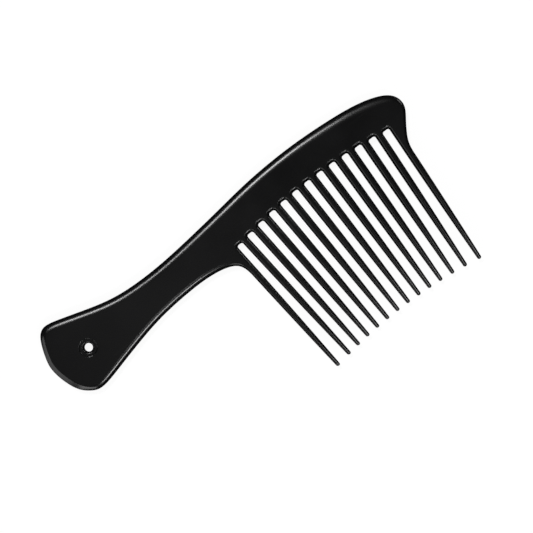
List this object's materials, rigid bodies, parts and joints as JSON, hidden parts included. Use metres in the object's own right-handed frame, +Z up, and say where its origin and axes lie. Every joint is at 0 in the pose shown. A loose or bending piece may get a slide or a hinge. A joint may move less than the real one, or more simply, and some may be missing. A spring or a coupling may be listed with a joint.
{
  "type": "wide tooth comb",
  "caption": "Wide tooth rake comb: a curved back with long tapered teeth, and a handle with a narrow neck and a flared end with a hanging hole.",
  "frame": {"origin": "centre of the comb's outline box, on the flat face it lies on", "axes": "+X from the hanging end to the head, teeth towards -Y, +Z up through the comb's thickness"},
  "size_m": [0.2164, 0.1023, 0.0056],
  "materials": {
    "comb_plastic": "black moulded plastic, satin to gloss"
  },
  "bodies": {
    "root": {"hang_end": "comb_plastic", "handle": "comb_plastic", "back": "comb_plastic", "tooth_01": "comb_plastic", "tooth_02": "comb_plastic", "tooth_03": "comb_plastic", "tooth_04": "comb_plastic", "tooth_05": "comb_plastic", "tooth_06": "comb_plastic", "tooth_07": "comb_plastic", "tooth_08": "comb_plastic", "tooth_09": "comb_plastic", "tooth_10": "comb_plastic", "tooth_11": "comb_plastic", "tooth_12": "comb_plastic", "tooth_13": "comb_plastic", "tooth_14": "comb_plastic"}
  },
  "joints": []
}
